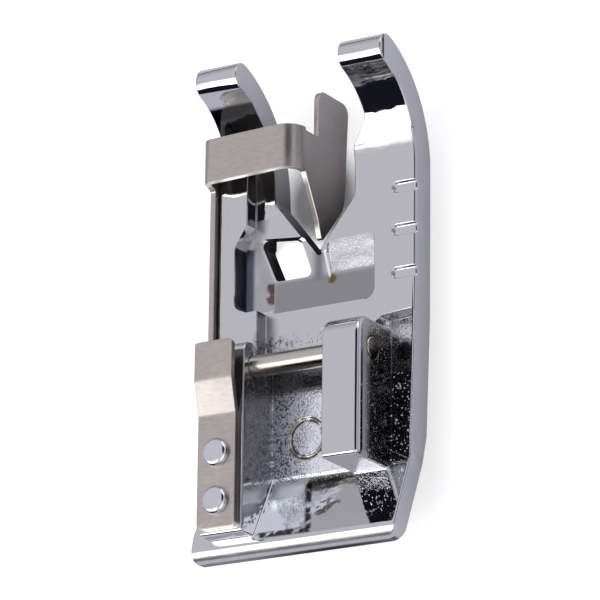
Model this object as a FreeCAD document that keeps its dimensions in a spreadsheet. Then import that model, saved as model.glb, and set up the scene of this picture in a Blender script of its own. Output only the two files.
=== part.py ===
import FreeCAD, Part
import math
import os
import types

import Sketcher
from FreeCAD import Placement, Rotation, Vector

# A clip-on sewing machine presser foot with a fixed edge guide.
# The origin is on the sole, straight below the middle of the cross bar.
# +X is the right side, +Y points to the toes, +Z is up. Millimetres.

# Driving dimensions: name, size, what it measures

SIZES = [
    ("plate", 2.2, "thickness of the sole plate and of the toes"),
    ("right_side", 9.05, "from the middle to the right side"),
    ("left_side", 6.38, "from the middle to the left side"),
    ("heel_start", 6.0, "from the bar back to where the sole lifts"),
    ("heel_lift", 1.75, "height of the underside at the rear end"),
    ("rear_end", 13.7, "from the bar back to the rear end"),
    ("rear_top", 3.3, "height of the rear apron's crest"),
    ("crest", 1.0, "from the rear end to the crest"),
    ("crest_fall", 0.05, "fall of the apron behind its crest"),
    ("apron_round", 1.0, "radius of the apron's rear top edge"),
    ("rear_right", 8.0, "from the middle to the rear right corner"),
    ("waist_right", 8.75, "from the middle to the side beside the tub's crease"),
    ("apron_left", 8.4, "from the middle to the rear left corner"),
    ("apron_start", 3.0, "from the bar back to where the apron widens"),
    ("curl_start", 13.6, "from the bar forward to where the toes curl up"),
    ("curl_radius", 8.75, "radius of the toes' underside"),
    ("curl_angle", 70.2, "angle through which the toes curl up, in degrees"),
    ("toe_taper_start", 17.4, "where the left toe's outer side starts to turn in"),
    ("toe_taper", 0.45, "how far the left toe's outer side turns in"),
    ("toe_lean", 0.4, "how far the left toe's inner side leans to the left"),
    ("guide_line", 0.93, "from the middle to the middle of the blade"),
    ("gap_left", 3.4, "from the blade's middle to the left toe"),
    ("gap_right", 3.15, "from the blade's middle to the right toe's root"),
    ("tip_right", 4.6, "from the blade's middle to the right toe's tip"),
    ("step_start", 15.5, "where the right toe's inner side steps out"),
    ("step_run", 1.75, "length of that step"),
    ("notch_point", 7.95, "from the bar forward to the toe gap's point"),
    ("notch_run", 4.0, "length of the gap's slanted sides"),
    ("rail_high", 1.25, "height of the left side's rail above the plate"),
    ("rail_wide", 2.3, "width of the rail's front part"),
    ("rail_root", 3.25, "width of the rail's rear part"),
    ("recess_deep", 0.5, "depth of the needle recess in the plate"),
    ("recess_rear", 4.1, "from the bar forward to the recess's rear wall"),
    ("recess_right", 5.7, "from the middle to the recess's right wall"),
    ("recess_left", 5.1, "from the middle to the recess's left wall"),
    ("recess_front", 10.7, "from the bar forward to the recess's front end"),
    ("pit_tilt", 19.5, "slope of the pit's floor, in degrees"),
    ("ridge", 0.32, "width of the ridge between the pit and the needle hole"),
    ("ramp_start", 6.6, "from the bar forward to the foot of the ramp"),
    ("ramp_run", 2.4, "length of the ramp up to the plate"),
    ("ramp_left", 1.9, "from the middle to the ramp's left side"),
    ("needle_rear", 6.65, "from the bar forward to the needle hole"),
    ("needle_long", 3.25, "length of the needle hole"),
    ("needle_right", 0.42, "from the middle to the hole's right rear corner"),
    ("needle_wide", 3.0, "width of the needle hole at its rear"),
    ("needle_skew", 1.0, "how far the hole's right side leans to the left"),
    ("needle_lean", 1.4, "how far the hole's left side leans to the left"),
    ("needle_turn", 0.35, "how far the hole's left front corner lies ahead of the right one"),
    ("needle_round", 0.4, "radius of the hole's corners"),
    ("lip", 0.3, "thickness of the lip over the hole's front end"),
    ("relief", 0.75, "length of the relief under that lip"),
    ("mark_first", 5.6, "from the bar forward to the first index mark"),
    ("mark_step", 3.175, "spacing of the index marks, an eighth of an inch"),
    ("mark_long", 1.85, "length of an index mark"),
    ("mark_wide", 0.75, "width of an index mark"),
    ("mark_deep", 0.3, "depth of an index mark"),
    ("tub_floor", 0.8, "height of the tub's floor"),
    ("tub_front", 0.8, "from the bar forward to the plate between the lugs"),
    ("tub_step", 2.62, "from the bar forward to the plate beside the lug"),
    ("crease", 8.0, "from the bar back to the foot of the tub's slope"),
    ("rim", 0.22, "width of the tub's right rim"),
    ("ring_radius", 1.5, "radius of the ring mark in the tub"),
    ("ring_wide", 0.22, "width of the ring mark"),
    ("ring_deep", 0.06, "depth of the ring mark"),
    ("ring_back", 5.0, "from the bar back to the ring mark"),
    ("ring_left", 0.45, "from the middle to the ring mark"),
    ("span", 6.75, "free length of the cross bar"),
    ("lug_left", 3.4, "from the middle to the right lug"),
    ("lug_wide", 2.93, "width of the right lug"),
    ("lug_top", 5.35, "height of the right lug"),
    ("lug_front", 2.15, "from the bar forward to the lug's front"),
    ("lug_rear", 8.1, "from the bar back to the lug's rear"),
    ("lug_round", 1.5, "radius of the lug's front top edge"),
    ("lug_side_round", 0.4, "radius of the lug's long right top edge"),
    ("block_top", 4.7, "height of the left block"),
    ("block_front", 1.7, "from the bar forward to the block's front"),
    ("block_rear", 12.3, "from the bar back to the block's rear"),
    ("block_left", 6.85, "from the middle to the left side of the block's rear part"),
    ("block_round", 0.8, "radius of the block's front top edge"),
    ("edge_round", 0.25, "radius of the casting's small edges"),
    ("bar_diameter", 1.6, "diameter of the cross bar"),
    ("bar_height", 3.3, "height of the cross bar's axis"),
    ("bar_seat", 1.3, "depth of the cross bar's seat in the block"),
    ("bar_proud", 0.06, "how far the bar's right end stands out"),
    ("fit_clear", 0.01, "clearance round the bar and the rivets"),
    ("sheet", 0.45, "thickness of the guide's sheet"),
    ("flange_clear", 0.1, "clearance between the guide's flange and the casting"),
    ("flange_low", 1.2, "height of the flange's lower edge"),
    ("flange_top", 3.9, "height of the flange's free upper edge"),
    ("bend", 0.8, "outer radius of the sheet's bends"),
    ("blade_bend", 1.4, "outer radius of the bend from the arm to the blade"),
    ("strap_rear", 11.9, "from the bar back to the guide's rear edge"),
    ("strap_left", 6.82, "from the middle to the strap's left edge"),
    ("strap_right", 3.72, "from the middle to the strap's right edge"),
    ("strap_round", 0.45, "radius of the strap's corners"),
    ("joggle_low", 3.75, "from the bar back to the foot of the joggle"),
    ("joggle_high", 1.2, "from the bar back to the top of the joggle"),
    ("joggle_rise", 0.65, "height of the joggle"),
    ("head_front", 1.6, "from the bar forward to the raised part's front edge"),
    ("arm_rear", 13.7, "from the bar forward to the arm's rear edge"),
    ("arm_wide", 3.3, "width of the arm"),
    ("arm_top", 5.2, "height of the arm at its left end"),
    ("arm_rise", 0.5, "rise of the arm to its right end"),
    ("blade_low", 1.85, "how far the blade reaches below the sole"),
    ("blade_front", 20.43, "from the bar forward to the blade's front edge"),
    ("blade_shoulder", 2.3, "height of the blade's front part"),
    ("blade_heel", 9.05, "from the bar forward to the blade's rear point"),
    ("rivet_front", 6.51, "from the bar back to the front rivet"),
    ("rivet_rear", 9.98, "from the bar back to the rear rivet"),
    ("rivet_left", 5.26, "from the middle to the rivets"),
    ("rivet_head", 2.1, "diameter of a rivet's head"),
    ("rivet_high", 0.5, "height of a rivet's head"),
    ("rivet_shank", 1.1, "diameter of a rivet's shank"),
    ("rivet_deep", 1.7, "depth of a rivet's seat in the block"),
]


class Size:
    """A length that holds its number and its formula in the sheet."""

    def __init__(self, value, text):
        self.value = value
        self.text = text

    def __add__(self, other):
        other = as_size(other)
        return Size(self.value + other.value, f"({self.text} + {other.text})")

    def __sub__(self, other):
        other = as_size(other)
        return Size(self.value - other.value, f"({self.text} - {other.text})")

    def __mul__(self, other):
        other = as_size(other)
        return Size(self.value * other.value, f"({self.text} * {other.text})")

    def __truediv__(self, other):
        other = as_size(other)
        return Size(self.value / other.value, f"({self.text} / {other.text})")

    def __neg__(self):
        return Size(-self.value, f"(-1 * {self.text})")


def as_size(number):
    if isinstance(number, Size):
        return number
    return Size(float(number), f"({float(number)})")


doc = FreeCAD.newDocument("presser_foot")
sheet = doc.addObject("Spreadsheet::Sheet", "Sizes")
for row, (alias, value, meaning) in enumerate(SIZES, start=1):
    sheet.set(f"A{row}", meaning)
    sheet.set(f"B{row}", str(value))
    sheet.setAlias(f"B{row}", alias)
doc.recompute()

s = types.SimpleNamespace()
for alias, value, meaning in SIZES:
    setattr(s, alias, Size(sheet.get(alias), f"Sizes.{alias}"))

# Sketching

SIDE = "YZ_Plane"
PLAN = "XY_Plane"
CROSS = "XZ_Plane"


def new_body(name):
    body = doc.addObject("PartDesign::Body", name)
    body.Label = name
    body.Placement = Placement()
    return body


def new_sketch(body, name, role, lift):
    """An empty sketch on one of the body's own planes, lifted along its normal."""
    plane = next(item for item in body.Origin.OriginFeatures if item.Role == role)
    sketch = body.newObject("Sketcher::SketchObject", name)
    sketch.AttachmentSupport = (plane, "")
    sketch.MapMode = "FlatFace"
    sketch.AttachmentOffset = Placement(Vector(0, 0, lift.value), Rotation())
    sketch.setExpression(".AttachmentOffset.Base.z", lift.text)
    return sketch


def bind(sketch, constraint, size):
    index = sketch.addConstraint(constraint)
    sketch.setExpression(f"Constraints[{index}]", size.text)


def fix_point(sketch, geometry, end, across, up):
    bind(sketch, Sketcher.Constraint("DistanceX", -1, 1, geometry, end, across.value), across)
    bind(sketch, Sketcher.Constraint("DistanceY", -1, 1, geometry, end, up.value), up)


def draw_circle(sketch, across, up, radius):
    centre = Vector(across.value, up.value, 0)
    circle = sketch.addGeometry(Part.Circle(centre, Vector(0, 0, 1), radius.value), False)
    bind(sketch, Sketcher.Constraint("Radius", circle, radius.value), radius)
    fix_point(sketch, circle, 3, across, up)


def arc_between(centre, start, end, turns_left):
    """A circular arc, and which of its ends is met first."""
    first, last = (start, end) if turns_left else (end, start)
    circle = Part.Circle(centre, Vector(0, 0, 1), (start - centre).Length)
    angles = [math.atan2(point.y - centre.y, point.x - centre.x) for point in (first, last)]
    return Part.ArcOfCircle(circle, *angles), (1, 2) if turns_left else (2, 1)


def draw_outline(sketch, corners):
    """A closed outline of straight sides. A corner is (across, up) or (across, up, radius)."""
    corners = [tuple(as_size(number) for number in corner) for corner in corners]
    places = [Vector(corner[0].value, corner[1].value, 0) for corner in corners]
    count = len(corners)
    arrive, leave, arcs = list(places), list(places), {}
    for index, corner in enumerate(corners):
        if len(corner) == 2:
            continue
        here, radius = places[index], corner[2].value
        back = (places[index - 1] - here).normalize()
        ahead = (places[(index + 1) % count] - here).normalize()
        half_angle = back.getAngle(ahead) / 2
        arrive[index] = here + back * (radius / math.tan(half_angle))
        leave[index] = here + ahead * (radius / math.tan(half_angle))
        centre = here + (back + ahead).normalize() * (radius / math.sin(half_angle))
        turns_left = back.cross(ahead).z < 0
        arc, ends = arc_between(centre, arrive[index], leave[index], turns_left)
        arcs[index] = (sketch.addGeometry(arc, False), ends)
    lines = []
    for index in range(count):
        line = Part.LineSegment(leave[index], arrive[(index + 1) % count])
        lines.append(sketch.addGeometry(line, False))
    for index, corner in enumerate(corners):
        before, after = lines[index - 1], lines[index]
        if index not in arcs:
            sketch.addConstraint(Sketcher.Constraint("Coincident", before, 2, after, 1))
            fix_point(sketch, after, 1, corner[0], corner[1])
            continue
        arc, ends = arcs[index]
        sketch.addConstraint(Sketcher.Constraint("Tangent", before, 2, arc, ends[0]))
        sketch.addConstraint(Sketcher.Constraint("Tangent", arc, ends[1], after, 1))
        bind(sketch, Sketcher.Constraint("Radius", arc, corner[2].value), corner[2])
        point = sketch.addGeometry(Part.Point(places[index]), True)
        fix_point(sketch, point, 1, corner[0], corner[1])
        for line in (before, after):
            sketch.addConstraint(Sketcher.Constraint("PointOnObject", point, 1, line))


# Features

def pad(body, name, role, start, end, corners):
    """Adds an outline swept from one distance along the plane's normal to another."""
    sketch = new_sketch(body, f"{name}_outline", role, start)
    draw_outline(sketch, corners)
    feature = body.newObject("PartDesign::Pad", name)
    feature.Profile = sketch
    feature.setExpression("Length", (end - start).text)
    return feature


def cut(body, name, sketch, depth=None):
    """Cuts a sketch along its normal, to a depth or right through."""
    feature = body.newObject("PartDesign::Pocket", name)
    feature.Profile = sketch
    feature.Reversed = True
    if depth is None:
        feature.Type = "ThroughAll"
    else:
        feature.setExpression("Length", depth.text)
    return feature


def cut_outline(body, name, role, start, corners, depth=None):
    sketch = new_sketch(body, f"{name}_outline", role, start)
    draw_outline(sketch, corners)
    return cut(body, name, sketch, depth)


def cut_circle(body, name, role, start, centre, radius, depth=None):
    sketch = new_sketch(body, f"{name}_circle", role, start)
    draw_circle(sketch, centre[0], centre[1], radius)
    return cut(body, name, sketch, depth)


def round_edges(body, name, pad_feature, side, low, radius):
    """Rounds the edges that lie in one plane x = side, above a height, on a new pad."""
    names = []
    for number, edge in enumerate(pad_feature.Shape.Edges, start=1):
        box = edge.BoundBox
        if abs(box.XMin - side.value) < 1e-4 and abs(box.XMax - side.value) < 1e-4 and box.ZMin > low.value:
            names.append(f"Edge{number}")
    feature = body.newObject("PartDesign::Fillet", name)
    feature.Base = (pad_feature, names)
    feature.setExpression("Radius", radius.text)
    return feature


zero = as_size(0)
beyond = s.curl_start + s.curl_radius * 2
rail_top = s.plate + s.rail_high
recess_floor = s.plate - s.recess_deep
tub_left = s.span - s.lug_left
lug_right = s.lug_left + s.lug_wide
block_base = s.plate - s.tub_floor / 2
lug_base = s.tub_floor - s.ring_deep * 2

# Foot body: side profile of sole, heel and curled toes

foot = new_body("foot_body")
pad(foot, "sole", SIDE, -s.apron_left, s.right_side, [
    (s.curl_start, zero),
    (s.curl_start, s.plate),
    (-s.crease, s.plate),
    (s.crest - s.rear_end, s.rear_top),
    (-s.rear_end, s.rear_top - s.crest_fall, s.apron_round * 0.9),
    (-s.rear_end, s.heel_lift),
    (-s.heel_start, zero),
])
curl = new_sketch(foot, "curl_outline", SIDE, -s.left_side - s.plate)
curl_centre = Vector(s.curl_start.value, s.curl_radius.value, 0)
curl_turn = math.radians(s.curl_angle.value)
curl_sine = Size(math.sin(curl_turn), f"sin({s.curl_angle.text} * 1deg)")
curl_middle = s.curl_radius - s.plate / 2
toe_reach = s.curl_start + curl_middle * curl_sine
tip_centre = Vector(toe_reach.value, s.curl_radius.value - curl_middle.value * math.cos(curl_turn), 0)
outward = (tip_centre - curl_centre).normalize() * (s.plate.value / 2)
sole_end = Vector(s.curl_start.value, 0, 0)
plate_end = Vector(s.curl_start.value, s.plate.value, 0)
under_arc, _ = arc_between(curl_centre, sole_end, tip_centre + outward, True)
tip_arc, _ = arc_between(tip_centre, tip_centre + outward, tip_centre - outward, True)
upper_arc, _ = arc_between(curl_centre, plate_end, tip_centre - outward, True)
root = curl.addGeometry(Part.LineSegment(plate_end, sole_end), False)
under_curl = curl.addGeometry(under_arc, False)
tip = curl.addGeometry(tip_arc, False)
upper_curl = curl.addGeometry(upper_arc, False)
fix_point(curl, root, 1, s.curl_start, s.plate)
fix_point(curl, root, 2, s.curl_start, zero)
curl.addConstraint(Sketcher.Constraint("Coincident", root, 2, under_curl, 1))
curl.addConstraint(Sketcher.Constraint("Tangent", under_curl, 2, tip, 1))
curl.addConstraint(Sketcher.Constraint("Tangent", tip, 2, upper_curl, 2))
curl.addConstraint(Sketcher.Constraint("Coincident", upper_curl, 1, root, 1))
fix_point(curl, under_curl, 3, s.curl_start, s.curl_radius)
curl.addConstraint(Sketcher.Constraint("Coincident", upper_curl, 3, under_curl, 3))
bind(curl, Sketcher.Constraint("DistanceX", -1, 1, tip, 3, toe_reach.value), toe_reach)
toes = foot.newObject("PartDesign::Pad", "toes")
toes.Profile = curl
toes.setExpression("Length", (s.right_side + s.left_side + s.plate).text)

# Foot body: the tub behind the bar, its slope and its ring mark

tub_right = s.right_side - s.rim
cut_outline(foot, "tub", PLAN, s.tub_floor, [
    (-tub_left, -s.crease),
    (s.waist_right - s.rim, -s.crease),
    (tub_right, s.tub_step + s.rim),
    (lug_right, s.tub_step),
    (s.lug_left + s.edge_round, s.tub_front),
    (-tub_left, s.tub_front),
])
slope_rise = s.rear_top - s.tub_floor
slope_run = s.rear_end - s.crest - s.crease
slope_long = Size(
    math.hypot(slope_rise.value, slope_run.value),
    f"sqrt({slope_rise.text} * {slope_rise.text} + {slope_run.text} * {slope_run.text})",
)
slope_angle = math.degrees(math.atan2(slope_rise.value, slope_run.value))
slope_sketch = new_sketch(foot, "slope_outline", PLAN, s.tub_floor)
slope_sketch.AttachmentOffset = Placement(
    Vector(0, -s.crease.value, s.tub_floor.value), Rotation(Vector(1, 0, 0), -slope_angle))
slope_sketch.setExpression(".AttachmentOffset.Base.y", (-s.crease).text)
slope_sketch.setExpression(".AttachmentOffset.Rotation.Angle", f"-atan({slope_rise.text} / {slope_run.text})")
draw_outline(slope_sketch, [
    (-tub_left, -slope_long),
    (s.rear_right - s.rim / 2, -slope_long),
    (s.waist_right - s.rim, zero),
    (s.waist_right - s.rim, s.rim),
    (-tub_left, s.rim),
])
cut(foot, "tub_slope", slope_sketch)
ring_sketch = new_sketch(foot, "ring_circles", PLAN, s.tub_floor - s.ring_deep)
for radius in (s.ring_radius, s.ring_radius - s.ring_wide):
    draw_circle(ring_sketch, -s.ring_left, -s.ring_back, radius)
cut(foot, "ring_mark", ring_sketch)

# Foot body: the left block, the right lug and the rail along the left side

pad(foot, "block", SIDE, -s.left_side, -tub_left, [
    (-s.block_rear, block_base),
    (s.block_front, block_base),
    (s.block_front, s.block_top, s.block_round),
    (-s.block_rear, s.block_top, s.edge_round),
])
block_shoulder = -s.joggle_high - s.flange_clear
pad(foot, "block_side", SIDE, -s.block_left, -s.left_side, [
    (-s.block_rear, block_base),
    (block_shoulder, block_base),
    (block_shoulder, s.block_top),
    (-s.block_rear, s.block_top, s.edge_round),
])
lug = pad(foot, "lug", SIDE, s.lug_left, lug_right, [
    (-s.lug_rear, lug_base),
    (s.lug_front, lug_base),
    (s.lug_front, s.lug_top, s.lug_round),
    (-s.lug_rear, s.lug_top, s.edge_round),
])
doc.recompute()
round_edges(foot, "lug_right_edge", lug, lug_right, s.plate, s.lug_side_round)
curl_inner = s.curl_radius - s.plate
rail_drop = curl_inner - s.rail_high
rail_front = Size(
    s.curl_start.value + math.sqrt(curl_inner.value ** 2 - rail_drop.value ** 2),
    f"({s.curl_start.text} + sqrt({curl_inner.text} * {curl_inner.text} - {rail_drop.text} * {rail_drop.text}))",
)
rail_right = s.rail_wide - s.left_side
pad(foot, "rail", PLAN, block_base, rail_top, [
    (-s.left_side, zero),
    (s.rail_root - s.left_side, zero),
    (s.rail_root - s.left_side, s.recess_rear),
    (rail_right, s.ramp_start),
    (rail_right, rail_front),
    (-s.left_side, rail_front),
])

# Foot body: outer plan, toe gap, needle recess and needle hole

outer = new_sketch(foot, "plan_outline", PLAN, -s.plate)
draw_outline(outer, [
    (-s.left_side, -s.apron_start),
    (-s.left_side, s.toe_taper_start, s.plate),
    (s.toe_taper - s.left_side, beyond),
    (s.right_side, beyond),
    (s.right_side, s.tub_step, s.curl_radius),
    (s.waist_right, -s.crease, s.curl_radius),
    (s.rear_right, -s.rear_end, s.apron_round),
    (-s.apron_left, -s.rear_end, s.edge_round),
    (-s.apron_left, s.crest * 2 - s.rear_end),
])
draw_outline(outer, [
    (-beyond, -beyond),
    (beyond, -beyond),
    (beyond, beyond + s.plate),
    (-beyond, beyond + s.plate),
])
cut(foot, "outer_plan", outer)

gap_left = s.guide_line - s.gap_left
gap_right = s.guide_line + s.gap_right
needle_front = s.needle_rear + s.needle_long
needle_left = s.needle_right - s.needle_wide
hole_left = needle_left - s.needle_lean
hole_right = s.needle_right - s.needle_skew
cut_outline(foot, "toe_gap", PLAN, -s.plate, [
    (s.guide_line, s.notch_point, s.edge_round),
    (gap_right, s.notch_point + s.notch_run, s.block_round),
    (gap_right, s.step_start, s.block_round),
    (s.guide_line + s.tip_right, s.step_start + s.step_run, s.block_round),
    (s.guide_line + s.tip_right, beyond),
    (gap_left - s.toe_lean * 2, beyond),
    (gap_left, s.notch_point + s.notch_run * s.gap_left / s.gap_right, s.block_round),
])
cut_outline(foot, "recess", PLAN, recess_floor, [
    (s.rail_root - s.left_side, s.recess_rear),
    (s.recess_right, s.recess_rear, s.block_round),
    (s.recess_right, s.ramp_start),
    (s.ramp_left, s.ramp_start),
    (s.ramp_left, s.notch_point + s.rim),
    (s.guide_line, s.notch_point + s.rim * 2),
    (s.guide_line - s.rim, needle_front - s.needle_turn),
    (hole_right, needle_front - s.needle_turn),
    (hole_left, needle_front),
    (rail_right, s.recess_front),
    (-s.recess_left, s.recess_front - s.block_round * 2, s.block_round),
    (-s.recess_left, s.recess_rear + s.rim * 2, s.block_round),
    (rail_right, s.recess_rear),
])
ramp_sketch = new_sketch(foot, "ramp_outline", SIDE, s.ramp_left)
draw_outline(ramp_sketch, [
    (s.ramp_start, recess_floor),
    (s.ramp_start + s.ramp_run, s.plate),
    (s.ramp_start + s.ramp_run, rail_top),
    (s.ramp_start, rail_top),
])
cut(foot, "ramp", ramp_sketch, s.recess_right - s.ramp_left)
pit_wide = needle_left - s.ridge + s.recess_left
pit_sketch = new_sketch(foot, "pit_outline", PLAN, recess_floor)
pit_sketch.AttachmentOffset = Placement(
    Vector(-s.recess_left.value, 0, recess_floor.value), Rotation(Vector(0, 1, 0), s.pit_tilt.value))
pit_sketch.setExpression(".AttachmentOffset.Base.x", (-s.recess_left).text)
pit_sketch.setExpression(".AttachmentOffset.Rotation.Angle", s.pit_tilt.text)
draw_outline(pit_sketch, [
    (zero, s.recess_rear + s.rim * 2, s.needle_round),
    (pit_wide, s.recess_rear + s.rim * 2, s.needle_round),
    (pit_wide, s.needle_rear, s.needle_round),
    (pit_wide - s.needle_lean, needle_front),
    (zero, s.recess_front - s.block_round * 2),
])
cut(foot, "pit", pit_sketch)
cut_outline(foot, "needle_hole", PLAN, -s.plate, [
    (s.needle_right, s.needle_rear, s.needle_round),
    (hole_right, needle_front - s.needle_turn, s.needle_round),
    (hole_left, needle_front, s.needle_round),
    (needle_left, s.needle_rear, s.needle_round),
])
cut_outline(foot, "needle_relief", PLAN, -s.plate, [
    (hole_right - s.ridge, needle_front - s.relief),
    (hole_right - s.relief, needle_front + s.relief - s.ridge, s.edge_round),
    (hole_left + s.ridge, needle_front + s.relief, s.edge_round),
    (hole_left + s.ridge, needle_front - s.relief),
], recess_floor - s.lip + s.plate)

# Foot body: index marks, bar hole and rivet seats

mark_left = s.right_side - s.mark_long
mark_low = s.mark_first - s.mark_wide / 2
mark_high = s.mark_first + s.mark_wide / 2
mark_end = s.mark_wide * 0.45
marks = cut_outline(foot, "index_mark", PLAN, s.plate - s.mark_deep, [
    (mark_left, mark_low, mark_end),
    (s.right_side + s.plate, mark_low),
    (s.right_side + s.plate, mark_high),
    (mark_left, mark_high, mark_end),
])
pattern = foot.newObject("PartDesign::LinearPattern", "index_marks")
pattern.Originals = [marks]
pattern.Direction = (foot.Origin.OriginFeatures[1], [""])
pattern.Occurrences = 3
pattern.Mode = "Spacing"
pattern.setExpression("Offset", s.mark_step.text)
foot.Tip = pattern
bar_left = -tub_left - s.bar_seat
bar_radius = s.bar_diameter / 2
cut_circle(foot, "bar_hole", SIDE, bar_left, (zero, s.bar_height), bar_radius + s.fit_clear)
for name, back in (("front", s.rivet_front), ("rear", s.rivet_rear)):
    cut_circle(foot, f"{name}_rivet_seat", PLAN, s.block_top - s.rivet_deep,
               (-s.rivet_left, -back), s.rivet_shank / 2 + s.fit_clear)

# Cross bar: a plain round pin pressed through the lug into the block

bar = new_body("cross_pin")
bar_sketch = new_sketch(bar, "bar_circle", SIDE, bar_left)
draw_circle(bar_sketch, zero, s.bar_height, bar_radius)
rod = bar.newObject("PartDesign::Pad", "rod")
rod.Profile = bar_sketch
rod.setExpression("Length", (lug_right + s.bar_proud - bar_left).text)

# Edge guide: one sheet with rivet plate, joggle, flange, arm and blade

guide = new_body("edge_guide")
flange_inner = -s.left_side - s.flange_clear
flange_outer = flange_inner - s.sheet
strap_top = s.block_top + s.sheet
head_top = strap_top + s.joggle_rise
inner_bend = s.bend - s.sheet
joggle_round = s.bend * 1.5
pad(guide, "strap", SIDE, -s.strap_left, -s.strap_right, [
    (-s.strap_rear, s.block_top),
    (-s.joggle_low, s.block_top, joggle_round),
    (-s.joggle_high, head_top - s.sheet, joggle_round),
    (s.head_front, head_top - s.sheet),
    (s.head_front, head_top),
    (-s.joggle_high, head_top, joggle_round),
    (-s.joggle_low, strap_top, joggle_round),
    (-s.strap_rear, strap_top),
])
pad(guide, "head", CROSS, -s.head_front, s.joggle_high - s.rim, [
    (-s.strap_right, head_top - s.sheet),
    (-s.strap_right, head_top),
    (flange_outer, head_top, s.bend),
    (flange_outer, s.flange_low),
    (flange_inner, s.flange_low),
    (flange_inner, head_top - s.sheet, inner_bend),
])
arm_front = s.arm_rear + s.arm_wide
pad(guide, "flange", SIDE, flange_outer, flange_inner, [
    (-s.joggle_high + s.rim, s.flange_low, s.rim),
    (arm_front, s.flange_low, s.block_round),
    (arm_front, s.arm_top - s.bend),
    (s.arm_rear, s.arm_top - s.bend),
    (s.arm_rear - s.rim, s.flange_top, s.rim),
    (s.head_front + s.rim, s.flange_top, s.rim),
    (s.head_front, head_top - s.bend),
    (-s.joggle_high + s.rim, head_top - s.bend),
])
blade_left = s.guide_line - s.sheet / 2
blade_right = s.guide_line + s.sheet / 2
arm_end = s.arm_top + s.arm_rise
blade_root = arm_end - s.blade_bend - s.rim
pad(guide, "arm", CROSS, -arm_front, -s.arm_rear, [
    (flange_inner, s.flange_top),
    (flange_inner, s.arm_top - s.sheet, inner_bend),
    (blade_left, arm_end - s.sheet, s.blade_bend - s.sheet),
    (blade_left, blade_root),
    (blade_right, blade_root),
    (blade_right, arm_end, s.blade_bend),
    (flange_outer, s.arm_top, s.bend),
    (flange_outer, s.flange_top),
])
pad(guide, "blade", SIDE, blade_left, blade_right, [
    (arm_front - s.rim, blade_root),
    (s.arm_rear, blade_root),
    (s.blade_heel + s.block_round * 2, s.blade_shoulder, s.plate),
    (s.blade_heel, recess_floor, s.rim),
    (s.blade_heel + s.gap_left, -s.blade_low * 0.75, s.plate),
    (s.blade_front, -s.blade_low, s.block_round),
    (s.blade_front, s.blade_shoulder, s.block_round),
    (arm_front - s.rim, s.blade_shoulder, s.rim),
])
trim = new_sketch(guide, "strap_corners", PLAN, zero)
for across, side, along, way in (
    (-s.strap_left, -1, -s.strap_rear, -1),
    (-s.strap_right, 1, -s.strap_rear, -1),
    (-s.strap_right, 1, s.head_front, 1),
):
    draw_outline(trim, [
        (across + s.strap_round * side, along + s.strap_round * way),
        (across - s.strap_round * side, along + s.strap_round * way),
        (across - s.strap_round * side, along),
        (across, along, s.strap_round * 0.9),
        (across, along - s.strap_round * way),
        (across + s.strap_round * side, along - s.strap_round * way),
    ])
cut(guide, "strap_corner_cut", trim)
cut_outline(guide, "head_corner", PLAN, s.flange_top, [
    (flange_outer - s.strap_round, s.head_front + s.strap_round),
    (flange_outer - s.strap_round, s.head_front - s.strap_round),
    (flange_outer, s.head_front - s.strap_round),
    (flange_outer, s.head_front, s.strap_round * 0.9),
    (flange_outer + s.strap_round, s.head_front),
    (flange_outer + s.strap_round, s.head_front + s.strap_round),
])
for name, back in (("front", s.rivet_front), ("rear", s.rivet_rear)):
    cut_circle(guide, f"{name}_rivet_hole", PLAN, zero,
               (-s.rivet_left, -back), s.rivet_shank / 2 + s.fit_clear)

# Rivets: round head on the strap, shank in the block

for name, back in (("front", s.rivet_front), ("rear", s.rivet_rear)):
    rivet = new_body(f"{name}_rivet")
    section = new_sketch(rivet, f"{name}_section", SIDE, zero)
    head_radius = s.rivet_head / 2
    seat_floor = s.block_top - s.rivet_deep
    draw_outline(section, [
        (zero, seat_floor),
        (s.rivet_shank / 2, seat_floor),
        (s.rivet_shank / 2, strap_top),
        (head_radius, strap_top),
        (head_radius, strap_top + s.rivet_high, s.rivet_high * 0.8),
        (zero, strap_top + s.rivet_high),
    ])
    turned = rivet.newObject("PartDesign::Revolution", f"{name}_turned")
    turned.Profile = section
    turned.ReferenceAxis = (section, ["V_Axis"])
    turned.Angle = 360
    rivet.Placement = Placement(Vector(-s.rivet_left.value, -back.value, 0), Rotation())
    rivet.setExpression(".Placement.Base.x", (-s.rivet_left).text)
    rivet.setExpression(".Placement.Base.y", (-back).text)

doc.recompute()

# Every feature is sound, each cut takes material away, and the pieces are written

for item in doc.Objects:
    if "Invalid" in item.State or "Error" in item.State:
        raise RuntimeError(f"{item.Label} failed: {item.State}")
    if item.TypeId == "PartDesign::Pocket" and item.BaseFeature is not None:
        taken = item.BaseFeature.Shape.Volume - item.Shape.Volume
        if taken <= 0:
            raise RuntimeError(f"{item.Label} cuts nothing")

os.makedirs("parts", exist_ok=True)
for item in doc.Objects:
    if item.TypeId != "PartDesign::Body":
        continue
    shape = item.Shape
    if shape.isNull() or not shape.isValid():
        raise RuntimeError(f"{item.Label} has no valid shape")
    shape.exportStep(f"parts/{item.Label}.step")
    box = shape.BoundBox
    print(f"{item.Label}: {len(shape.Solids)} solid, {shape.Volume:.2f} mm3,",
          f"{box.XMin:.2f} {box.YMin:.2f} {box.ZMin:.2f} to {box.XMax:.2f} {box.YMax:.2f} {box.ZMax:.2f}")
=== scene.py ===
import math

import bpy
from mathutils import Matrix, Vector


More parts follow.
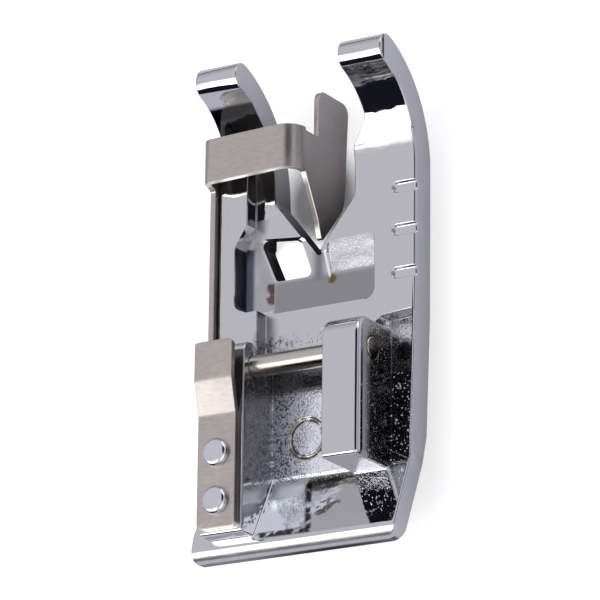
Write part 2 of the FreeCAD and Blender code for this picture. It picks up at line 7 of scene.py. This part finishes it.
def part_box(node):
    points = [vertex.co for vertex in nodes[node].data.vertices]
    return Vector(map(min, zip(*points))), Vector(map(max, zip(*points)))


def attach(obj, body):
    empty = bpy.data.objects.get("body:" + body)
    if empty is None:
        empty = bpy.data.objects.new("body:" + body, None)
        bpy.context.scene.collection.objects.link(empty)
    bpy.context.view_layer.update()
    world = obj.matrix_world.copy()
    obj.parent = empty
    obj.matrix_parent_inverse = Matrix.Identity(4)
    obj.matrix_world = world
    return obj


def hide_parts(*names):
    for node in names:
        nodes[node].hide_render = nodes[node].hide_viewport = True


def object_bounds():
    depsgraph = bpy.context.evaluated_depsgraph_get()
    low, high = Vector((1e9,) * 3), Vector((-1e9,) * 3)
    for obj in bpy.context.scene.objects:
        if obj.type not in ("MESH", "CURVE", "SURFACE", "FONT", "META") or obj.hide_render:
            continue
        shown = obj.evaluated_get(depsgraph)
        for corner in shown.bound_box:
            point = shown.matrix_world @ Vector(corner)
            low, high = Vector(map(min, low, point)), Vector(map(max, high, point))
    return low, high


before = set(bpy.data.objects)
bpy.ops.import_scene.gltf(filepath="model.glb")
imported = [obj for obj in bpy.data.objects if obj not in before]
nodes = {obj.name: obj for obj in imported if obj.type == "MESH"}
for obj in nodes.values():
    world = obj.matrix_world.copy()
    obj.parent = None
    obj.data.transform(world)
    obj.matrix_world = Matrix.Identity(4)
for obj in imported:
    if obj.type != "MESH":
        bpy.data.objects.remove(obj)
cad_low, cad_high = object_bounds()

# Floor and lights
# A pale table under the foot, a soft white tent all round it with one bright panel over
# the rear left and a dark doorway behind it, as polished metal is photographed.

floor_size = 2.0
below_sole = 0.00002
bpy.ops.object.select_all(action="DESELECT")
bpy.ops.mesh.primitive_plane_add(size=floor_size, location=(0, 0, cad_low.z - below_sole))
bpy.ops.object.transform_apply(location=True)
floor = bpy.context.object
floor.name = "floor"


def feed(tree, socket, source):
    """Links a source into a socket, or sets the socket to a plain value."""
    if isinstance(source, bpy.types.NodeSocket):
        tree.links.new(source, socket)
    else:
        socket.default_value = source


def calc(tree, operation, *sources):
    """One step of arithmetic on sockets and plain values."""
    step = tree.nodes.new("ShaderNodeMath")
    step.operation = operation
    for socket, source in zip(step.inputs, sources):
        feed(tree, socket, source)
    return step.outputs[0]


def rescale(tree, value, low, high, to_low=0, to_high=1, smooth=False):
    """Turns the stretch from low to high into another, level beyond both its ends."""
    scale = tree.nodes.new("ShaderNodeMapRange")
    scale.interpolation_type = "SMOOTHSTEP" if smooth else "LINEAR"
    names = ("Value", "From Min", "From Max", "To Min", "To Max")
    for name, source in zip(names, (value, low, high, to_low, to_high)):
        feed(tree, scale.inputs[name], source)
    return scale.outputs["Result"]


def distance(tree, place, middle):
    """How far a place lies from a point."""
    away = tree.nodes.new("ShaderNodeVectorMath")
    away.operation = "DISTANCE"
    feed(tree, away.inputs[0], place)
    feed(tree, away.inputs[1], middle)
    return away.outputs["Value"]


def axes_of(tree, place):
    """The three coordinates of a place."""
    axes = tree.nodes.new("ShaderNodeSeparateXYZ")
    tree.links.new(place, axes.inputs[0])
    return axes.outputs


def tint(tree, below, mask, colour):
    """Lays a colour over another where a mask says so."""
    lay = tree.nodes.new("ShaderNodeMix")
    lay.data_type = "RGBA"
    feed(tree, lay.inputs["A"], (*below, 1) if isinstance(below, tuple) else below)
    lay.inputs["B"].default_value = (*colour, 1)
    feed(tree, lay.inputs["Factor"], mask)
    return lay.outputs["Result"]


# The camera sees the table glow evenly, with a painted glow under the needle hole and painted shade
# between the toes, where it does not glow. The metal sees it with a painted shadow under the foot and
# pale beyond.
table = bpy.data.materials.new("pale_table")
table.use_nodes = True
top = table.node_tree
top.nodes.clear()
table_place = top.nodes.new("ShaderNodeTexCoord").outputs["Object"]
table_tone = 0.62
hole_tone = 1.2
lit = top.nodes.new("ShaderNodeBsdfDiffuse")
lit.inputs["Color"].default_value = (table_tone, table_tone, table_tone, 1)
from_hole = distance(top, table_place, (-0.0027, 0.0088, cad_low.z))
hole_glow = rescale(top, from_hole, 0.0018, 0.0025, hole_tone, table_tone)
from_toe_gap = distance(top, table_place, (-0.0008, 0.0136, cad_low.z))
gap_shade = rescale(top, from_toe_gap, 0.0022, 0.0042)
glow = top.nodes.new("ShaderNodeEmission")
top.links.new(calc(top, "MULTIPLY", hole_glow, gap_shade), glow.inputs["Strength"])
seen = top.nodes.new("ShaderNodeAddShader")
top.links.new(lit.outputs[0], seen.inputs[0])
top.links.new(glow.outputs[0], seen.inputs[1])
across = top.nodes.new("ShaderNodeMapping")
across.inputs["Location"].default_value = (0, 0.08, 0)
across.inputs["Scale"].default_value = (125, 66, 0)
footprint = top.nodes.new("ShaderNodeVectorMath")
footprint.operation = "LENGTH"
top.links.new(table_place, across.inputs["Vector"])
top.links.new(across.outputs["Vector"], footprint.inputs[0])
in_light = rescale(top, footprint.outputs["Value"], 0.85, 1.2)
mirrored = top.nodes.new("ShaderNodeBsdfDiffuse")
top.links.new(tint(top, (0.05, 0.05, 0.055), in_light, (0.70, 0.70, 0.75)), mirrored.inputs["Color"])
path = top.nodes.new("ShaderNodeLightPath")
choose = top.nodes.new("ShaderNodeMixShader")
table_out = top.nodes.new("ShaderNodeOutputMaterial")
top.links.new(path.outputs["Is Camera Ray"], choose.inputs["Fac"])
top.links.new(mirrored.outputs[0], choose.inputs[1])
top.links.new(seen.outputs[0], choose.inputs[2])
top.links.new(choose.outputs[0], table_out.inputs["Surface"])
floor.data.materials.append(table)

world = bpy.data.worlds.new("light_tent")
bpy.context.scene.world = world
world.use_nodes = True
tent = world.node_tree
tent.nodes.clear()
sky_way = tent.nodes.new("ShaderNodeTexCoord").outputs["Generated"]


def tent_patch(below, direction, core_angle, edge_angle, colour):
    """Lays a round patch of light or dark over the tent, fading from core to edge."""
    aim = tent.nodes.new("ShaderNodeVectorMath")
    aim.operation = "DOT_PRODUCT"
    aim.inputs[1].default_value = Vector(direction).normalized()
    tent.links.new(sky_way, aim.inputs[0])
    edge = math.cos(math.radians(edge_angle))
    core = math.cos(math.radians(core_angle))
    return tint(tent, below, rescale(tent, aim.outputs["Value"], edge, core, smooth=True), colour)


height = axes_of(tent, sky_way)["Z"]
wall = tent.nodes.new("ShaderNodeValToRGB")
wall.color_ramp.elements[0].position = 0.0
wall.color_ramp.elements[0].color = (0.42, 0.42, 0.46, 1)
wall.color_ramp.elements[1].position = 0.62
wall.color_ramp.elements[1].color = (0.84, 0.83, 0.88, 1)
tent.links.new(height, wall.inputs["Fac"])
front_panel = (0.52, 0.83, 0.2)
bright_panel = (-0.49, -0.51, 0.71)
doorway = (-0.50, -0.84, 0.10)
rear_panel = (0.62, -0.60, 0.50)
opening_above = (0.49, 0.30, 0.81)
light = tent_patch(wall.outputs["Color"], front_panel, 14, 30, (1.7, 1.75, 1.85))
light = tent_patch(light, bright_panel, 12, 31, (4.0, 4.0, 4.0))
light = tent_patch(light, doorway, 29.3, 30.8, (0.012, 0.012, 0.02))
light = tent_patch(light, rear_panel, 16, 30, (1.5, 1.5, 1.5))
light = tent_patch(light, opening_above, 17, 23, (0.02, 0.02, 0.028))

# A dark gap runs all round between the tent's hem and the table.
gap_height = 0.02
from_gap = calc(tent, "ABSOLUTE", calc(tent, "SUBTRACT", height, gap_height))
in_gap = rescale(tent, from_gap, 0.085, 0.045, smooth=True)
light = tint(tent, light, in_gap, (0.02, 0.02, 0.03))
tent_light = tent.nodes.new("ShaderNodeBackground")
tent_out = tent.nodes.new("ShaderNodeOutputWorld")
tent.links.new(light, tent_light.inputs["Color"])
tent.links.new(tent_light.outputs[0], tent_out.inputs["Surface"])

# Camera
# A long lens above the rear right corner, rolled so that the toes point up.

camera_place = Vector((0.15696, -0.09241, 0.26213))
image_right = Vector((0.8574, 0.0113, -0.5146))
image_up = Vector((0.1476, 0.9524, 0.2669))
toward_camera = image_right.cross(image_up).normalized()
lens = bpy.data.cameras.new("camera")
lens.sensor_width = 36
lens.lens = 270
lens.clip_start = 0.01
lens.clip_end = 10
camera = bpy.data.objects.new("camera", lens)
bpy.context.scene.collection.objects.link(camera)
turn = Matrix((image_right, image_up, toward_camera)).transposed().to_4x4()
camera.matrix_world = Matrix.Translation(camera_place) @ turn
bpy.context.scene.camera = camera
bpy.context.scene.view_settings.view_transform = "Standard"

# Foot body
# One zinc die casting, tumbled and chromed all over. The plate, the toes and the lug are
# polished, and the tub behind the bar keeps the coarse skin of the die under its plating.


def skin_of(node, name, edge, share):
    """A merged copy of a solid's skin with its sharp edges broken, standing for that solid.

    share gives, for the middle and the faces of an edge, how much of the width it gets.
    An edge that bends only a little is broken only between faces that are no slivers.
    """
    piece = bpy.data.objects.new(name, nodes[node].data.copy())
    bpy.context.scene.collection.objects.link(piece)
    bpy.ops.object.select_all(action="DESELECT")
    piece.select_set(True)
    bpy.context.view_layer.objects.active = piece
    bpy.ops.object.mode_set(mode="EDIT")
    bpy.ops.mesh.select_all(action="SELECT")
    bpy.ops.mesh.customdata_custom_splitnormals_clear()
    bpy.ops.mesh.remove_doubles(threshold=2e-7)
    bpy.ops.mesh.dissolve_limited(angle_limit=math.radians(0.4))
    bpy.ops.object.mode_set(mode="OBJECT")
    beside = {}
    for face in piece.data.polygons:
        for key in face.edge_keys:
            beside.setdefault(key, []).append(face)
    shallow_bend = math.radians(10.4)
    sharp_bend = math.radians(28)
    sliver_area = 1e-7
    weights = piece.data.attributes.new("bevel_weight_edge", "FLOAT", "EDGE")
    for number, line in enumerate(piece.data.edges):
        faces = beside[line.key]
        bend = faces[0].normal.angle(faces[1].normal, 0)
        sliver = min(face.area for face in faces) < sliver_area
        if bend < shallow_bend or bend < sharp_bend and sliver:
            continue
        ends = [piece.data.vertices[index].co for index in line.vertices]
        weights.data[number].value = share((ends[0] + ends[1]) / 2, faces)
    broken = piece.modifiers.new("broken_edges", "BEVEL")
    broken.width = edge
    broken.segments = 3
    broken.limit_method = "WEIGHT"
    broken.use_clamp_overlap = False
    broken.miter_outer = "MITER_ARC"
    bpy.ops.object.modifier_apply(modifier="broken_edges")
    bpy.ops.object.shade_smooth_by_angle(angle=math.radians(40))
    even = piece.modifiers.new("even_normals", "WEIGHTED_NORMAL")
    even.weight = 100
    even.keep_sharp = True
    bpy.ops.object.modifier_apply(modifier="even_normals")
    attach(piece, "root")
    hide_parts(node)
    return piece


def casting_edges(middle, faces):
    """The top edge on the right is well rounded in front of the bar and less behind it.

    The edges of the pit and of the needle hole are left crisp.
    """
    upward = max(face.normal.z for face in faces)
    sideways = max(abs(face.normal.x) for face in faces)
    in_recess = -0.0054 < middle.x < 0.0018 and 0.0038 < middle.y < 0.0112 and middle.z < 0.0036
    right_edge = upward > 0.9 and sideways > 0.9 and middle.x > 0.0085
    before_bar = middle.y > 0.003
    if in_recess:
        return 0.0
    if right_edge and before_bar:
        return 1.0
    return 0.4 if right_edge else 0.5


casting = skin_of("foot_body", "chromed_casting", 0.0002, casting_edges)


def noise(tree, place, scale, detail, roughness=0.5):
    """Soft irregular values from 0 to 1."""
    cloud = tree.nodes.new("ShaderNodeTexNoise")
    cloud.inputs["Detail"].default_value = detail
    cloud.inputs["Roughness"].default_value = roughness
    feed(tree, cloud.inputs["Vector"], place)
    feed(tree, cloud.inputs["Scale"], scale)
    return cloud.outputs["Fac"]


def to_cell(tree, place, scale):
    """How far a place lies from the middle of its irregular cell."""
    cells = tree.nodes.new("ShaderNodeTexVoronoi")
    feed(tree, cells.inputs["Vector"], place)
    feed(tree, cells.inputs["Scale"], scale)
    return cells.outputs["Distance"]


def effect(name, output, **inputs):
    """An empty node group with its named sockets, for an effect used in several places."""
    group = bpy.data.node_groups.new(name, "ShaderNodeTree")
    for socket, kind in inputs.items():
        group.interface.new_socket(socket, in_out="INPUT", socket_type=f"NodeSocket{kind}")
    group.interface.new_socket(output, in_out="OUTPUT", socket_type="NodeSocketFloat")
    given = group.nodes.new("NodeGroupInput").outputs
    result = group.nodes.new("NodeGroupOutput").inputs[output]
    return group, given, result


cast_skin, given, result = effect("cast_skin", "Height", Place="Vector", Grain="Float")
lump_height = 0.45
pimple_height = 0.6
lumps = noise(cast_skin, given["Place"], given["Grain"], 3, 0.62)
from_pimple = to_cell(cast_skin, given["Place"], given["Grain"])
pimples = rescale(cast_skin, from_pimple, 0.3, 0.08, to_high=pimple_height, smooth=True)
cast_skin.links.new(calc(cast_skin, "MULTIPLY_ADD", lumps, lump_height, pimples), result)

handling, given, result = effect("handling", "Roughness", Place="Vector", Clean="Float", Worn="Float")
smears = noise(handling, given["Place"], 420, 6)
handling.links.new(rescale(handling, smears, 0.42, 0.68, given["Clean"], given["Worn"]), result)

ragged_spot_mask, given, result = effect("ragged_spot_mask", "Mask", Place="Vector", Middle="Vector", Reach="Float")
from_middle = distance(ragged_spot_mask, given["Place"], given["Middle"])
outward = calc(ragged_spot_mask, "DIVIDE", from_middle, given["Reach"])
ragged = calc(ragged_spot_mask, "ADD", outward, noise(ragged_spot_mask, given["Place"], 2600, 4))
ragged_spot_mask.links.new(rescale(ragged_spot_mask, ragged, 1.5, 1.0, smooth=True), result)


def use_group(tree, group, place, **values):
    """Places a shared effect in a material and gives back what it makes."""
    box = tree.nodes.new("ShaderNodeGroup")
    box.node_tree = group
    tree.links.new(place, box.inputs["Place"])
    for socket, value in values.items():
        box.inputs[socket].default_value = value
    return box.outputs[0]


def metal(name, colour):
    """A bare metal with its nodes, its shader and its object coordinates."""
    material = bpy.data.materials.new(name)
    material.use_nodes = True
    tree = material.node_tree
    shader = tree.nodes["Principled BSDF"]
    shader.inputs["Base Color"].default_value = (*colour, 1)
    shader.inputs["Metallic"].default_value = 1
    return material, tree, shader, tree.nodes.new("ShaderNodeTexCoord").outputs["Object"]


def bump(tree, height, depth, strength=1, below=None):
    """Turns a height into a normal, over the normal of another bump if there is one."""
    raised = tree.nodes.new("ShaderNodeBump")
    raised.inputs["Distance"].default_value = depth
    feed(tree, raised.inputs["Strength"], strength)
    tree.links.new(height, raised.inputs["Height"])
    if below is not None:
        tree.links.new(below, raised.inputs["Normal"])
    return raised.outputs["Normal"]


def product(tree, *sources):
    """All the masks and shares multiplied."""
    result = sources[0]
    for source in sources[1:]:
        result = calc(tree, "MULTIPLY", result, source)
    return result


def within(tree, value, low, high, soft):
    """1 where a coordinate lies between low and high, fading over soft at both ends."""
    rise = rescale(tree, value, low - soft, low + soft, smooth=True)
    fall = rescale(tree, value, high + soft, high - soft, smooth=True)
    return calc(tree, "MULTIPLY", rise, fall)


chrome_tone = (0.55, 0.55, 0.568)
chrome, tree, shader, place = metal("chrome_on_zinc", chrome_tone)
axes = axes_of(tree, place)


def zone(**stretches):
    """A soft box on the casting: low end, high end and softness along each axis given."""
    return product(tree, *[within(tree, axes[axis], *ends) for axis, ends in stretches.items()])


def leaning(share, axis, low, high, soft):
    """1 where an axis plus a share of Y lies between low and high, for a side that leans."""
    return within(tree, calc(tree, "MULTIPLY_ADD", axes["Y"], share, axes[axis]), low, high, soft)


def ragged_spot(middle, reach):
    """A ragged spot on the casting."""
    return use_group(tree, ragged_spot_mask, place, Middle=middle, Reach=reach)


# The die's coarse skin shows in the tub and faintly on the ramp, under the polisher's waves.
tub = zone(Y=(-0.0081, 0.0024, 0.0003), X=(-0.0034, 0.00885, 0.0001), Z=(-0.001, 0.0044, 0.0004))
ramp = zone(Y=(0.0066, 0.0091, 0.0002), X=(0.0019, 0.0057, 0.0001))
ramp_share = 0.12
skin_depth = 0.00006
wave_depth = 0.00006
skin_height = use_group(tree, cast_skin, place, Grain=5200)
coarse = bump(tree, skin_height, skin_depth, calc(tree, "MULTIPLY_ADD", ramp, ramp_share, tub))
waves = bump(tree, noise(tree, place, 330, 3), wave_depth, below=coarse)
tree.links.new(waves, shader.inputs["Normal"])

# Uneven patches, small specks that get painted glints with painted shade between them, and pits in the
# skin that get painted shade
cloud = noise(tree, place, 1700, 5)
patchy = rescale(tree, cloud, 0.38, 0.50, smooth=True)
uneven = calc(tree, "MULTIPLY_ADD", cloud, 0.8, to_cell(tree, place, 4300))
shade_between_specks = rescale(tree, uneven, 0.62, 0.72, smooth=True)
on_specks = calc(tree, "SUBTRACT", 1, shade_between_specks)
shaded_skin_pits = rescale(tree, skin_height, 0.235, 0.195, smooth=True)

# Places where the polish is blurred, each with its share of the most blur
pocket = zone(X=(0.00632, 0.00866, 0.00004), Y=(-0.0080, -0.0012, 0.0003), Z=(0.0, 0.0042, 0.0003))
glints = product(tree, pocket, on_specks)
lug_shoulder = zone(Z=(0.0037, 0.0047, 0.0001), X=(0.0059, 0.0066, 0.00004), Y=(-0.0085, 0.0035, 0.0001))
groove = zone(X=(-0.0034, -0.0020, 0.0002), Y=(0.0022, 0.0041, 0.0002))
pit_inside = zone(X=(-0.0054, -0.0029, 0.0001), Y=(0.0045, 0.0113, 0.0001), Z=(0.0009, 0.0031, 0.0001))
tub_left = product(tree, tub, zone(X=(-0.0036, -0.0008, 0.0008)))
slope_top = zone(X=(-0.0031, -0.0003, 0.0002), Y=(-0.0093, -0.0078, 0.0004))
rear_crest = zone(Y=(-0.014, -0.0131, 0.0001), Z=(0.00285, 0.0036, 0.0001))
blurs = (
    (pit_inside, 0.5),
    (tub_left, 0.6),
    (slope_top, 1),
    (rear_crest, 0.6),
    (groove, 0.6),
    (glints, 1),
)
blurred = lug_shoulder
for mask, share in blurs:
    blurred = calc(tree, "MAXIMUM", blurred, product(tree, mask, share))
most_blur = 0.5
worn = use_group(tree, handling, place, Clean=0.03, Worn=0.09)
tree.links.new(calc(tree, "MULTIPLY_ADD", blurred, most_blur, worn), shader.inputs["Roughness"])

# Painted shade, painted highlights and painted reflections, with the real stains, rust and grime, laid
# over each other from first to last
# Painted shade on the floor of the recess.
recess_shade = zone(X=(-0.0028, 0.0056, 0.0002), Y=(0.0036, 0.0066, 0.0003), Z=(0.001, 0.0019, 0.0001))
# Painted pale reflection on the tub's floor.
tub_floor_reflection = product(tree, tub, zone(Z=(0.0, 0.0011, 0.0001), X=(-0.0036, 0.0062, 0.0001)))
# Painted pale reflection on the rear slope.
slope_reflection = zone(X=(-0.0026, -0.0004, 0.0004), Y=(-0.0102, -0.0083, 0.0004))
# Painted shade between the needle hole and the ramp.
beside_hole_shade = zone(X=(0.0005, 0.0013, 0.0004), Y=(0.0064, 0.0086, 0.0004), Z=(0.001, 0.002, 0.0001))
# A painted highlight along the ramp's left side.
ramp_side_highlight = zone(Y=(0.0062, 0.0089, 0.0002), Z=(0.001, 0.0021, 0.0001))
ramp_side_highlight = product(tree, ramp_side_highlight, leaning(0.25, "X", 0.00335, 0.00352, 0.00007))
# Painted dark reflection on the left toe's curl.
left_toe_dark_reflection = zone(X=(-0.009, -0.0024, 0.00003), Y=(0.0160, 0.0192, 0.0001), Z=(0.0032, 0.0056, 0.0001))
left_toe_dark_reflection = product(tree, left_toe_dark_reflection, leaning(-1.09, "Z", -0.0158, -0.01, 0.00006))
# The bar's painted shadow on the tub's floor.
bar_shadow = product(tree, tub, zone(Y=(-0.0015, 0.0009, 0.0003), Z=(0.0, 0.0011, 0.0001)))
# Painted shade on the pit's wall and floor.
pit_wall_shade = zone(X=(-0.0056, -0.00504, 0.00003), Y=(0.0045, 0.0094, 0.0001), Z=(0.0016, 0.0033, 0.0001))
pit_floor_shade = zone(X=(-0.0056, -0.0046, 0.00015), Y=(0.0045, 0.0094, 0.0001), Z=(0.0009, 0.0019, 0.0001))
# Ragged lines of painted dark reflection along the slope.
slope_dark_reflection = product(tree, zone(Y=(-0.0126, -0.0084, 0.0001)), leaning(0.3, "X", -0.0029, -0.0024, 0.00015))
slope_dark_reflection_low = zone(X=(-0.0031, 0.0009, 0.0003), Y=(-0.0126, -0.0121, 0.0001))
# Painted shade along the foot of the rear face.
rear_foot_shade = zone(Y=(-0.015, -0.01355, 0.00005), Z=(0.0, 0.00252, 0.00006))
from_grime = distance(tree, place, (-0.00045, -0.005, 0.00078))
grime_ring = within(tree, from_grime, 0.0012, 0.0016, 0.0002)
# Painted shade in a dent beside the bar's end; the spots after it are real stains and rust.
dent_shade = ragged_spot((0.0075, 0.0002, 0.0008), 0.0009)
ramp_stain = ragged_spot((0.00205, 0.0062, 0.0018), 0.0005)
rust = ragged_spot((-0.0033, 0.0064, 0.00107), 0.00055)
rust_low = ragged_spot((-0.0033, 0.0056, 0.00107), 0.00055)
lug_stain = ragged_spot((0.0063, 0.0, 0.0033), 0.0013)
tones = (
    (recess_shade, 1, (0.28, 0.28, 0.295)),
    (tub_floor_reflection, 1, (0.80, 0.81, 0.87)),
    (slope_reflection, 1, (0.95, 0.98, 1.0)),
    # painted shade in the skin's pits on the tub's left
    (product(tree, tub_left, shaded_skin_pits), patchy, (0.15, 0.15, 0.18)),
    (beside_hole_shade, 0.8, (0.14, 0.14, 0.15)),
    (ramp_side_highlight, 1, (0.95, 0.95, 0.96)),
    (left_toe_dark_reflection, 0.95, (0.05, 0.05, 0.06)),
    (bar_shadow, 0.85, (0.08, 0.08, 0.085)),
    (pit_wall_shade, 1, (0.03, 0.03, 0.04)),
    (pit_floor_shade, 1, (0.13, 0.14, 0.18)),
    # painted shade between the pocket's specks
    (pocket, shade_between_specks, (0.05, 0.05, 0.065)),
    (dent_shade, 1, (0.04, 0.04, 0.05)),
    # painted highlights on the pocket's specks
    (glints, 1, (0.95, 0.95, 0.97)),
    (slope_dark_reflection, patchy, (0.03, 0.03, 0.04)),
    (slope_dark_reflection_low, patchy, (0.03, 0.03, 0.04)),
    (rear_foot_shade, 1, (0.05, 0.05, 0.06)),
    (ramp_stain, 1, (0.16, 0.10, 0.05)),
    (rust, 1, (0.16, 0.09, 0.08)),
    (rust_low, 1, (0.20, 0.12, 0.10)),
    (grime_ring, patchy, (0.27, 0.25, 0.20)),
    (lug_stain, 1, (0.30, 0.16, 0.09)),
)
colour = chrome_tone
for mask, share, tone in tones:
    colour = tint(tree, colour, product(tree, mask, share), tone)
tree.links.new(colour, shader.inputs["Base Color"])
casting.data.materials.clear()
casting.data.materials.append(chrome)

# Cross bar
# A hardened steel pin, ground round and polished, pressed through the lug into the block.


def all_alike(middle, faces):
    """Every edge is broken by the same width."""
    return 1.0


bar = skin_of("cross_pin", "ground_bar", 0.00012, all_alike)
bar_tone = (0.50, 0.475, 0.44)
bar_steel, tree, shader, place = metal("ground_steel", bar_tone)
turning = tree.nodes.new("ShaderNodeTexWave")
turning.bands_direction = "X"
turning.inputs["Scale"].default_value = 2600
turning.inputs["Distortion"].default_value = 1.5
tree.links.new(place, turning.inputs["Vector"])
tree.links.new(bump(tree, turning.outputs["Fac"], 0.000001, 0.5), shader.inputs["Normal"])
worn = use_group(tree, handling, place, Clean=0.16, Worn=0.3)
tree.links.new(worn, shader.inputs["Roughness"])
# Painted shade on the bar's rear side.
bar_shaded_side = within(tree, axes_of(tree, place)["Y"], -0.002, -0.00035, 0.0003)
tree.links.new(tint(tree, bar_tone, bar_shaded_side, (0.13, 0.115, 0.10)), shader.inputs["Base Color"])
bar.data.materials.clear()
bar.data.materials.append(bar_steel)

# Edge guide
# Stainless spring sheet, blanked and bent in a press. Its faces keep the roller's grain
# and its blanked edges are slightly torn, painted near white as a painted highlight.

guide = skin_of("edge_guide", "bent_guide", 0.00005, all_alike)
sheet_tone = (0.46, 0.425, 0.40)
guide_steel, tree, shader, place = metal("rolled_stainless", sheet_tone)
stretch = tree.nodes.new("ShaderNodeMapping")
stretch.inputs["Scale"].default_value = (1500, 5200, 5200)
tree.links.new(place, stretch.inputs["Vector"])
grain = noise(tree, stretch.outputs["Vector"], 1, 4)
tree.links.new(bump(tree, grain, 0.000004, 0.5), shader.inputs["Normal"])
worn = use_group(tree, handling, place, Clean=0.3, Worn=0.42)
tree.links.new(worn, shader.inputs["Roughness"])
colour = tint(tree, sheet_tone, rescale(tree, grain, 0.4, 0.75, to_high=0.5), (0.33, 0.30, 0.275))
guide_axes = axes_of(tree, place)
# Painted shade across the blade where it meets the slit in the plate.
slit_shade = product(tree, within(tree, guide_axes["X"], 0.0005, 0.00108, 0.00003),
                    within(tree, guide_axes["Y"], 0.0100, 0.0132, 0.0004))
tree.links.new(tint(tree, colour, slit_shade, (0.09, 0.085, 0.08)), shader.inputs["Base Color"])
# The cut ends: a torn rough finish, painted near white as a painted highlight.
cut_steel, tree, shader, place = metal("blanked_edge", (0.93, 0.90, 0.83))
shader.inputs["Roughness"].default_value = 0.45
torn = use_group(tree, cast_skin, place, Grain=5000)
tree.links.new(bump(tree, torn, 0.00001), shader.inputs["Normal"])
guide.data.materials.clear()
guide.data.materials.append(guide_steel)
guide.data.materials.append(cut_steel)

# The cut ends get their torn finish and a painted highlight, apart from those of the blade that hangs
# down on the right.
blade_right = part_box("edge_guide")[1].x
blade_top = 0.0045
sheet_thick = 0.00045
for face in guide.data.polygons:
    on_blade = face.center.x > blade_right - sheet_thick * 1.2 and face.center.z < blade_top
    endwise = abs(face.normal.y) > 0.5 and abs(face.normal.z) < 0.3
    if endwise and not on_blade:
        face.material_index = 1

# Rivets
# Two soft steel rivets, plated, with their heads pressed flat on the strap.

rivet_steel, tree, shader, place = metal("plated_rivet", (0.60, 0.59, 0.64))
dimples = use_group(tree, cast_skin, place, Grain=1500)
tree.links.new(bump(tree, dimples, 0.00001, 0.4), shader.inputs["Normal"])
worn = use_group(tree, handling, place, Clean=0.08, Worn=0.18)
tree.links.new(worn, shader.inputs["Roughness"])
for end in ("front", "rear"):
    rivet = skin_of(f"{end}_rivet", f"{end}_rivet_head", 0.00006, all_alike)
    rivet.data.materials.clear()
    rivet.data.materials.append(rivet_steel)
